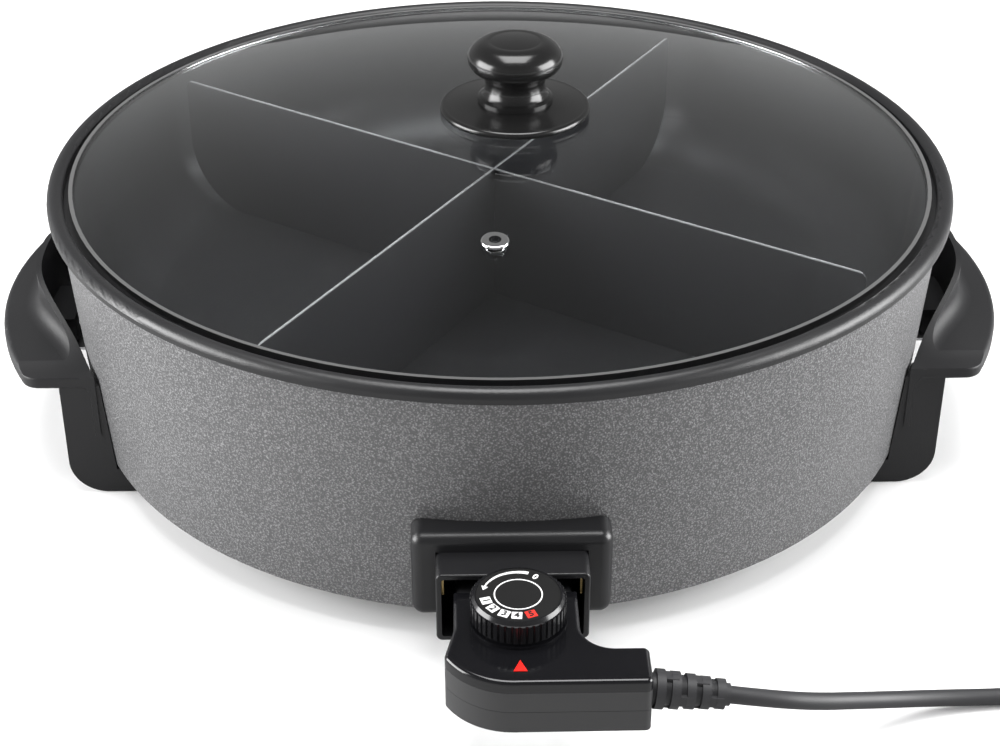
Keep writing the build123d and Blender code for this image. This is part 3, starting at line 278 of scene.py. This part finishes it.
def add_bump(tree, shader, height, distance, strength=1.0):
    """Bump from a height socket, with its depth in metres."""
    bump = tree.nodes.new("ShaderNodeBump")
    bump.inputs["Strength"].default_value = strength
    bump.inputs["Distance"].default_value = distance
    tree.links.new(height, bump.inputs["Height"])
    tree.links.new(bump.outputs["Normal"], shader.inputs["Normal"])


def spread(tree, value, low, high, socket):
    """Maps a 0-1 socket to low-high and feeds it to a shader's socket."""
    node = tree.nodes.new("ShaderNodeMapRange")
    node.inputs["From Min"].default_value = 0.3
    node.inputs["From Max"].default_value = 0.7
    node.inputs["To Min"].default_value = low
    node.inputs["To Max"].default_value = high
    tree.links.new(value, node.inputs["Value"])
    tree.links.new(node.outputs["Result"], socket)


def tint(tree, mask, colour_a, colour_b, socket):
    """Mixes two colours by a mask and feeds the result to a shader's socket."""
    mix = tree.nodes.new("ShaderNodeMix")
    mix.data_type = "RGBA"
    mix.inputs["A"].default_value = (*colour_a, 1)
    mix.inputs["B"].default_value = (*colour_b, 1)
    tree.links.new(mask, mix.inputs["Factor"])
    tree.links.new(mix.outputs["Result"], socket)
    return mix


def grained(name, base, roughness, size, depth, swing=0.06, **shader_values):
    """A moulded or sprayed finish: fine bumps and slow changes of gloss."""
    material, tree, shader = new_material(name, base, roughness, **shader_values)
    grain = place_group(tree, GRAIN, Size=size)
    spread(tree, grain.outputs["Patches"], roughness - swing, roughness + swing, shader.inputs["Roughness"])
    add_bump(tree, shader, grain.outputs["Height"], depth)
    return material


def make_hammered_paint():
    """Mid-grey hammered paint with a painted highlight, a near-white band in the colour, where the wall meets
    the rim.
    """
    material, tree, shader = new_material("hammered_grey_paint", (0.2, 0.2, 0.205), 0.46, metallic=0.6)
    cells = place_group(tree, HAMMERED)
    # Mask of the painted highlight band under the rim.
    band = place_group(tree, LEVEL_BAND, Low=PAINTED_HIGHLIGHT_BAND[0], High=PAINTED_HIGHLIGHT_BAND[1])
    fleck = tree.nodes.new("ShaderNodeMapRange")
    fleck.inputs["From Min"].default_value = 0.2
    fleck.inputs["From Max"].default_value = 0.55
    tree.links.new(cells.outputs["Fleck"], fleck.inputs["Value"])
    paint = tint(tree, fleck.outputs["Result"], (0.14, 0.14, 0.143), (0.4, 0.4, 0.405),
                 shader.inputs["Base Color"])
    # Painted highlight: the base colour turns near-white inside the band.
    painted_highlight = tree.nodes.new("ShaderNodeMix")
    painted_highlight.data_type = "RGBA"
    painted_highlight.inputs["B"].default_value = (0.85, 0.85, 0.85, 1)
    tree.links.new(band.outputs["Mask"], painted_highlight.inputs["Factor"])
    tree.links.new(paint.outputs["Result"], painted_highlight.inputs["A"])
    tree.links.new(painted_highlight.outputs["Result"], shader.inputs["Base Color"])
    add_bump(tree, shader, cells.outputs["Height"], 0.00018, 0.7)
    return material


def make_divider_coat():
    """Dark coat on the divider's plates, with a painted highlight: pale grey colour along the top edge."""
    material, tree, shader = new_material("divider_coat", (0.02, 0.02, 0.022), 0.38)
    band = place_group(tree, LEVEL_BAND, Low=DIVIDER_PAINTED_HIGHLIGHT, High=ABOVE_ALL)
    # Painted highlight: pale grey colour above that height, along the plates' top edge.
    tint(tree, band.outputs["Mask"], (0.02, 0.02, 0.022), (0.32, 0.32, 0.32), shader.inputs["Base Color"])
    grain = place_group(tree, GRAIN, Size=700.0)
    spread(tree, grain.outputs["Patches"], 0.32, 0.42, shader.inputs["Roughness"])
    add_bump(tree, shader, grain.outputs["Height"], 0.00002)
    return material


def make_case_cover():
    """Gloss black top of the case, satin grey down its sides."""
    material, tree, shader = new_material("case_cover", (0.008, 0.008, 0.009), 0.14)
    band = place_group(tree, LEVEL_BAND, Low=GLOSS_START, High=ABOVE_ALL)
    tint(tree, band.outputs["Mask"], (0.035, 0.035, 0.036), (0.005, 0.005, 0.006),
         shader.inputs["Base Color"])
    gloss = tree.nodes.new("ShaderNodeMapRange")
    gloss.inputs["To Min"].default_value = 0.42
    gloss.inputs["To Max"].default_value = 0.14
    tree.links.new(band.outputs["Mask"], gloss.inputs["Value"])
    tree.links.new(gloss.outputs["Result"], shader.inputs["Roughness"])
    grain = place_group(tree, GRAIN, Size=1500.0)
    add_bump(tree, shader, grain.outputs["Height"], 0.000006)
    return material


def make_lid_glass():
    """Clear tempered glass that lets light through to the pan."""
    material, tree, shader = new_material("lid_glass", (0.72, 0.74, 0.75), 0.0)
    shader.inputs["Transmission Weight"].default_value = 1.0
    shader.inputs["IOR"].default_value = 1.5
    clear = tree.nodes.new("ShaderNodeBsdfTransparent")
    clear.inputs["Color"].default_value = (0.8, 0.8, 0.8, 1)
    rays = tree.nodes.new("ShaderNodeLightPath")
    mix = tree.nodes.new("ShaderNodeMixShader")
    tree.links.new(rays.outputs["Is Shadow Ray"], mix.inputs["Fac"])
    tree.links.new(shader.outputs["BSDF"], mix.inputs[1])
    tree.links.new(clear.outputs["BSDF"], mix.inputs[2])
    tree.links.new(mix.outputs["Shader"], tree.nodes["Material Output"].inputs["Surface"])
    return material


def brushed(name, base, roughness):
    """Metal with a fine noise grain and slow changes of gloss."""
    return grained(name, base, roughness, 1600.0, 0.000006, swing=0.05, metallic=1.0)


MATERIALS = {
    "nonstick": grained("nonstick_coat", (0.012, 0.012, 0.013), 0.38, 1000.0, 0.00009),
    "hammer_paint": make_hammered_paint(),
    "element_sheath": brushed("element_sheath", (0.32, 0.28, 0.25), 0.45),
    "bush_ceramic": grained("bush_ceramic", (0.75, 0.72, 0.66), 0.6, 1500.0, 0.00002),
    "well_aluminium": brushed("well_aluminium", (0.6, 0.6, 0.61), 0.5),
    "socket_plastic": grained("socket_plastic", (0.009, 0.009, 0.01), 0.36, 1500.0, 0.00002),
    "fastener_steel": brushed("fastener_steel", (0.62, 0.62, 0.63), 0.32),
    "contact_brass": brushed("contact_brass", (0.75, 0.55, 0.25), 0.3),
    "handle_plastic": grained("handle_plastic", (0.01, 0.01, 0.011), 0.45, 1300.0, 0.00006),
    "lid_glass": make_lid_glass(),
    "polished_steel": brushed("polished_steel", (0.8, 0.8, 0.8), 0.14),
    "knob_plastic": grained("knob_plastic", (0.008, 0.008, 0.008), 0.2, 300.0, 0.000004, swing=0.03),
    "silicone": grained("gasket_silicone", (0.5, 0.5, 0.5), 0.6, 1500.0, 0.00001),
    "divider_coat": make_divider_coat(),
    "case_gloss": make_case_cover(),
    "case_matte": grained("case_matte", (0.035, 0.035, 0.036), 0.45, 1500.0, 0.00003),
    "dial_plastic": grained("dial_plastic", (0.008, 0.008, 0.009), 0.2, 300.0, 0.000004, swing=0.03),
    "dial_print": grained("dial_print", (0.012, 0.012, 0.012), 0.25, 300.0, 0.000004, swing=0.03),
    "inner_plastic": grained("inner_plastic", (0.7, 0.66, 0.56), 0.5, 1500.0, 0.00002),
    "probe_steel": brushed("probe_steel", (0.6, 0.58, 0.56), 0.28),
    "red_lens": grained("red_lens", (0.85, 0.02, 0.015), 0.2, 300.0, 0.000004, swing=0.03),
    "lamp_glass": grained("lamp_glass", (0.8, 0.55, 0.45), 0.1, 300.0, 0.000004, swing=0.03),
    "wire_cover": grained("wire_cover", (0.25, 0.12, 0.05), 0.5, 1500.0, 0.00002),
    "cord_rubber": grained("cord_rubber", (0.022, 0.022, 0.024), 0.5, 1500.0, 0.00003),
    "tie_strap": grained("tie_strap", (0.03, 0.03, 0.03), 0.8, 1800.0, 0.0001),
    "plug_metal": brushed("plug_metal", (0.75, 0.74, 0.72), 0.2),
}
WHITE_PRINT = grained("white_print", (0.82, 0.82, 0.82), 0.4, 1500.0, 0.000005, swing=0.03)
BLACK_PRINT = grained("black_print", (0.01, 0.01, 0.01), 0.4, 1500.0, 0.000005, swing=0.03)
RED_PRINT = grained("red_print", (0.75, 0.03, 0.02), 0.4, 1500.0, 0.000005, swing=0.03)


def paint(piece, material):
    """Gives a piece one material."""
    piece.data.materials.clear()
    piece.data.materials.append(material)


def paint_nodes():
    """Gives every CAD node the finish of its material slot."""
    for row in frame["record"]["subparts"]:
        paint(nodes[row["node"]], MATERIALS[row["material_slot"]])


# ---- print on the dial ----
PRINT_LEVEL = 61.8 * MM
PRINT_HEIGHT = 0.12 * MM
NUMBER_ANGLES = (196.5, 220, 244, 266, 290.5)
NUMBER_RADIUS = 12.9
OFF_ANGLE = 57
BOX_HALF = 2.0
DIGIT_SIZE = 4.0


def raised_outline(bm, outline, base, height):
    """Adds a closed flat outline to a bmesh and gives it thickness."""
    face = bm.faces.new([bm.verts.new((x * MM, y * MM, base)) for x, y in outline])
    made = bmesh.ops.extrude_face_region(bm, geom=[face])
    lifted = [item for item in made["geom"] if isinstance(item, bmesh.types.BMVert)]
    bmesh.ops.translate(bm, vec=(0, 0, height), verts=lifted)


def ring_outline(inner, outer, start, end, count):
    """Outline of a flat ring's stretch, in millimetres round the dial's centre."""
    return arc((0, 0), outer, start, end, count) + arc((0, 0), inner, end, start, count)


def dial_piece(name, bm, material):
    """Moves a print to the dial's centre and lets it turn with the dial."""
    bmesh.ops.translate(bm, vec=(DIAL_CENTRE.x, DIAL_CENTRE.y, 0), verts=bm.verts)
    piece = finish_mesh(name, bm, "dial")
    paint(piece, material)
    return piece


def polar(radius, angle):
    """Point at a distance and an angle from the dial's centre, in millimetres."""
    return (radius * math.cos(math.radians(angle)), radius * math.sin(math.radians(angle)))


def number_box(bm, angle, radius, half, base):
    """A square patch turned to face the dial's centre."""
    out = Vector(polar(1, angle))
    side = Vector((-out.y, out.x))
    middle = out * radius
    corners = [middle + out * half * a + side * half * b for a, b in ((-1, -1), (1, -1), (1, 1), (-1, 1))]
    raised_outline(bm, [tuple(c) for c in corners], base, PRINT_HEIGHT)


def number_piece(digit, angle, radius, size, material):
    """A digit as a thin mesh, its foot towards the dial's centre."""
    curve = bpy.data.curves.new("digit", "FONT")
    curve.body = str(digit)
    curve.size = size * MM
    curve.extrude = PRINT_HEIGHT / 2
    curve.offset = 0.1 * MM
    curve.align_x = "CENTER"
    curve.align_y = "CENTER"
    helper = bpy.data.objects.new("digit", curve)
    scene.collection.objects.link(helper)
    bpy.context.view_layer.update()
    mesh = bpy.data.meshes.new_from_object(helper.evaluated_get(bpy.context.evaluated_depsgraph_get()))
    bpy.data.objects.remove(helper)
    x, y = polar(radius * MM, angle)
    place = Matrix.Translation((DIAL_CENTRE.x + x, DIAL_CENTRE.y + y, PRINT_LEVEL + 1.5 * PRINT_HEIGHT))
    mesh.transform(place @ Matrix.Rotation(math.radians(angle + 90), 4, "Z"))
    mesh.name = f"dial_number_{digit}"
    piece = bpy.data.objects.new(f"dial_number_{digit}", mesh)
    scene.collection.objects.link(piece)
    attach(piece, "dial")
    paint(piece, material)


def make_dial_print():
    """Scale of the dial: an inner ring, an arc that grows to an arrow, and six numbers."""
    ring = bmesh.new()
    for start in range(0, 360, 90):
        raised_outline(ring, ring_outline(8.9, 9.4, start, start + 90, 16), PRINT_LEVEL, PRINT_HEIGHT)
    steps = 20
    outer = []
    inner = []
    for i in range(steps + 1):
        half = 0.8 - 0.52 * i / steps
        outer.append(polar(13.75 + half, 72 + 86 * i / steps))
        inner.append(polar(13.75 - half, 72 + 86 * i / steps))
    tip = [polar(15.1, 158), polar(13.75, 168), polar(12.4, 158)]
    raised_outline(ring, outer + tip + inner[::-1], PRINT_LEVEL, PRINT_HEIGHT)
    dial_piece("dial_ring_and_arrow", ring, WHITE_PRINT)
    boxes = bmesh.new()
    for angle in NUMBER_ANGLES[:4]:
        number_box(boxes, angle, NUMBER_RADIUS, BOX_HALF, PRINT_LEVEL)
    dial_piece("dial_number_boxes", boxes, WHITE_PRINT)
    hottest = bmesh.new()
    number_box(hottest, NUMBER_ANGLES[4], NUMBER_RADIUS, BOX_HALF, PRINT_LEVEL)
    dial_piece("dial_top_heat_box", hottest, RED_PRINT)
    for digit, angle in enumerate(NUMBER_ANGLES, start=1):
        number_piece(digit, angle, NUMBER_RADIUS, DIGIT_SIZE, BLACK_PRINT)
    number_piece(0, OFF_ANGLE, NUMBER_RADIUS, DIGIT_SIZE, WHITE_PRINT)


# ---- stage and light ----
def make_stage():
    """Pale floor, wide enough to fill the view, that throws less light back on the object than it shows."""
    bm = bmesh.new()
    bmesh.ops.create_grid(bm, x_segments=1, y_segments=1, size=6)
    mesh = bpy.data.meshes.new("floor")
    bm.to_mesh(mesh)
    bm.free()
    floor = bpy.data.objects.new("floor", mesh)
    scene.collection.objects.link(floor)
    floor.location.z = -0.0005
    material, tree, shader = new_material("floor_paper", (0.93, 0.93, 0.93), 0.9, specular=0.0)
    rays = tree.nodes.new("ShaderNodeLightPath")
    tint(tree, rays.outputs["Is Camera Ray"], (0.4, 0.4, 0.4), (0.93, 0.93, 0.93),
         shader.inputs["Base Color"])
    paint(floor, material)


def add_light(name, place, aim, size, power):
    """A square soft light."""
    data = bpy.data.lights.new(name, "AREA")
    data.shape = "RECTANGLE"
    data.size = size[0]
    data.size_y = size[1]
    data.energy = power
    light = bpy.data.objects.new(name, data)
    scene.collection.objects.link(light)
    light.location = place
    light.rotation_euler = (Vector(aim) - Vector(place)).to_track_quat("-Z", "Y").to_euler()


def make_lights():
    """Surroundings paler towards the horizon, an overhead light and one soft light at each side."""
    world = bpy.data.worlds.new("studio")
    scene.world = world
    world.use_nodes = True
    tree = world.node_tree
    where = tree.nodes.new("ShaderNodeTexCoord")
    split = tree.nodes.new("ShaderNodeSeparateXYZ")
    rise = tree.nodes.new("ShaderNodeMapRange")
    rise.inputs["To Min"].default_value = 0.4
    rise.inputs["To Max"].default_value = 0.12
    tree.links.new(where.outputs["Generated"], split.inputs[0])
    tree.links.new(split.outputs["Z"], rise.inputs["Value"])
    tree.links.new(rise.outputs["Result"], tree.nodes["Background"].inputs["Strength"])
    tree.nodes["Background"].inputs["Color"].default_value = (1, 1, 1, 1)
    add_light("overhead", (0, -0.05, 2.0), (0, 0, 0), (1.3, 1.3), 46)
    add_light("left_side", (-1.25, -0.2, 0.42), (0, 0, 0.06), (1.0, 0.8), 34)
    add_light("right_side", (1.25, -0.2, 0.42), (0, 0, 0.06), (1.0, 0.8), 34)


scene.view_settings.view_transform = "Standard"
make_camera()
make_cord()
paint_nodes()
paint(bpy.data.objects["mains_cord_flex"], MATERIALS["cord_rubber"])
make_dial_print()
make_stage()
make_lights()

bpy.context.view_layer.update()
